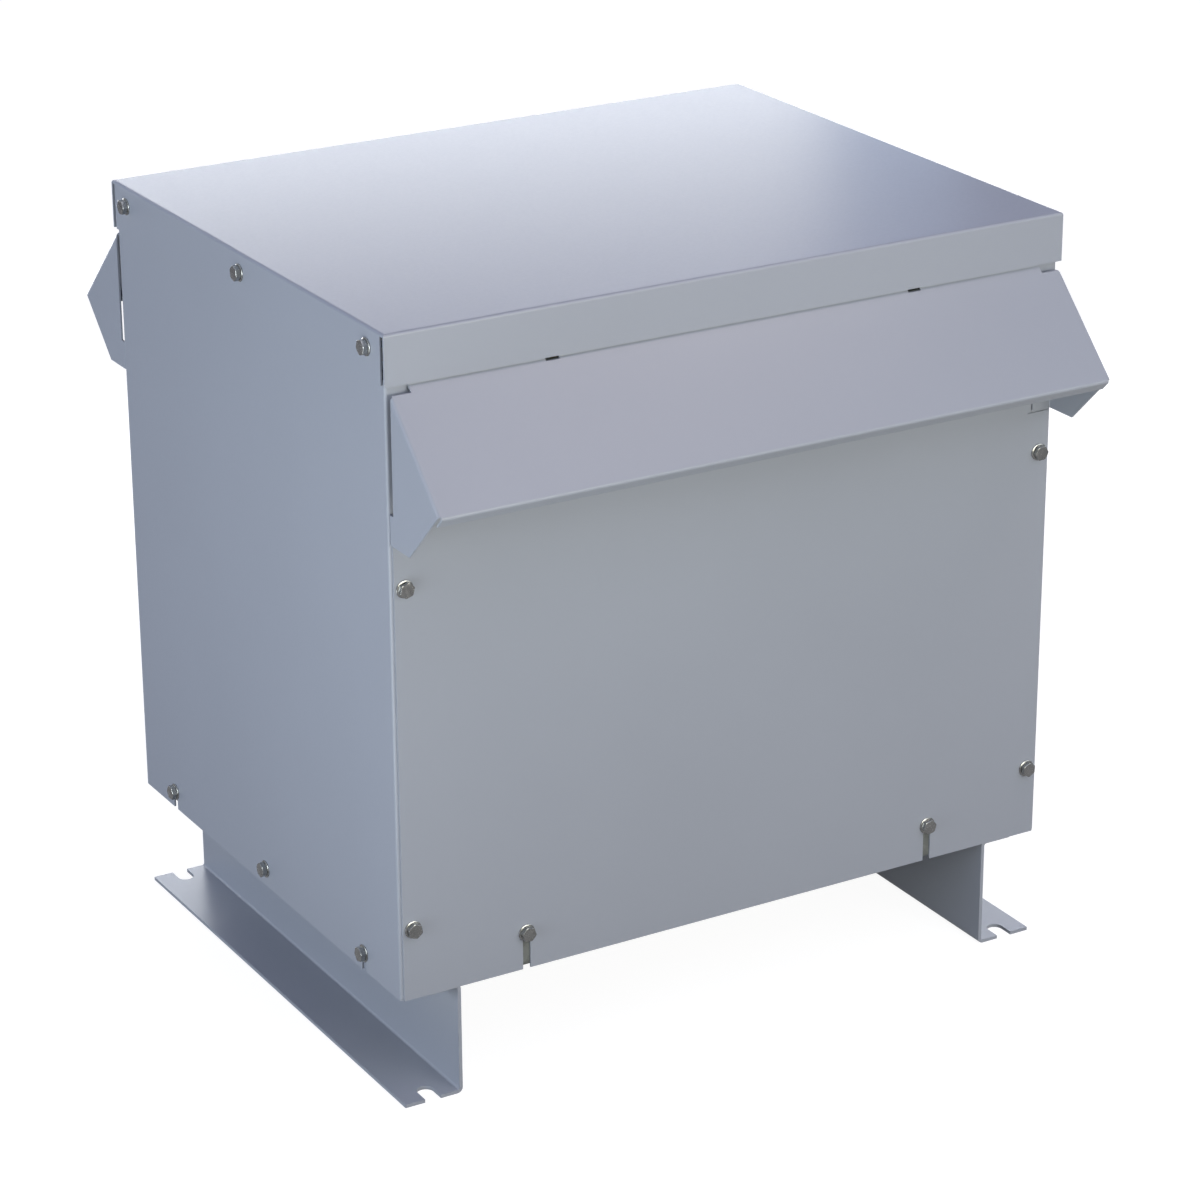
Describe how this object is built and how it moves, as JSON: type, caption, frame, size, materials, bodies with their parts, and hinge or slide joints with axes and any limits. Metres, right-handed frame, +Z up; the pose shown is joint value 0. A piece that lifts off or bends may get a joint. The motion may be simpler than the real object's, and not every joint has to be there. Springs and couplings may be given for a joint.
{
  "type": "ventilated dry-type transformer",
  "caption": "Floor-standing transformer in a folded sheet-steel enclosure with sloping air-outlet hoods on two faces, an overlapping lid and open-slotted foot rails.",
  "frame": {"origin": "on the floor, in the middle of the footprint", "axes": "+Z up; the front panel with its hood faces -Y; +X is to the right of someone who looks at the front"},
  "size_m": [0.631, 0.6424, 0.649],
  "materials": {
    "painted_sheet": "satin light grey powder coat",
    "coated_frame": "hot-dipped frame steel, dull greenish grey",
    "plated_screws": "dark zinc plated",
    "zinc_hardware": "zinc plated",
    "primed_steel": "matt black primer",
    "rubber_pad": "matt",
    "core_steel": "stacked lamination edges under dark varnish",
    "lv_winding": "foil and paper under amber varnish",
    "hv_winding": "wound wire under amber varnish",
    "insulation": "pressed board and laminate, matt",
    "bus_aluminium": "mill finish",
    "stud_brass": "turned",
    "lead_sleeve": "black sleeve",
    "tinned_strap": "tinned"
  },
  "bodies": {
    "root": {"top_cover": "painted_sheet", "left_side_panel": "painted_sheet", "right_side_panel": "painted_sheet", "front_panel": "painted_sheet", "rear_panel": "painted_sheet", "front_hood": "painted_sheet", "rear_hood": "painted_sheet", "left_foot_rail": "painted_sheet", "right_foot_rail": "painted_sheet", "front_base_angle": "coated_frame", "rear_base_angle": "coated_frame", "left_base_angle": "coated_frame", "right_base_angle": "coated_frame", "front_top_rail": "coated_frame", "rear_top_rail": "coated_frame", "cover_screws": "plated_screws", "side_panel_screws": "plated_screws", "front_panel_screws": "plated_screws", "rear_panel_screws": "plated_screws", "panel_nuts": "zinc_hardware", "base_bolts": "zinc_hardware", "support_bolts": "zinc_hardware", "frame_nuts": "zinc_hardware", "clamp_bolts": "zinc_hardware", "clamp_nuts": "zinc_hardware", "board_screws": "zinc_hardware", "board_nuts": "zinc_hardware", "ground_screws": "zinc_hardware", "hood_rivets": "zinc_hardware", "left_core_support": "primed_steel", "right_core_support": "primed_steel", "lower_clamp_front": "primed_steel", "lower_clamp_rear": "primed_steel", "upper_clamp_front": "primed_steel", "upper_clamp_rear": "primed_steel", "terminal_brackets": "primed_steel", "isolation_pads": "rubber_pad", "laminated_core": "core_steel", "lv_winding_left": "lv_winding", "hv_winding_left": "hv_winding", "winding_tube_left": "insulation", "lv_winding_centre": "lv_winding", "hv_winding_centre": "hv_winding", "winding_tube_centre": "insulation", "lv_winding_right": "lv_winding", "hv_winding_right": "hv_winding", "winding_tube_right": "insulation", "duct_spacers": "insulation", "coil_end_blocks": "insulation", "hv_terminal_board": "insulation", "lv_terminal_board": "insulation", "lv_phase_bars": "bus_aluminium", "lv_neutral_bars": "bus_aluminium", "neutral_bar": "bus_aluminium", "ground_lug": "bus_aluminium", "hv_terminal_studs": "stud_brass", "hv_leads": "lead_sleeve", "ground_strap": "tinned_strap"}
  },
  "joints": []
}
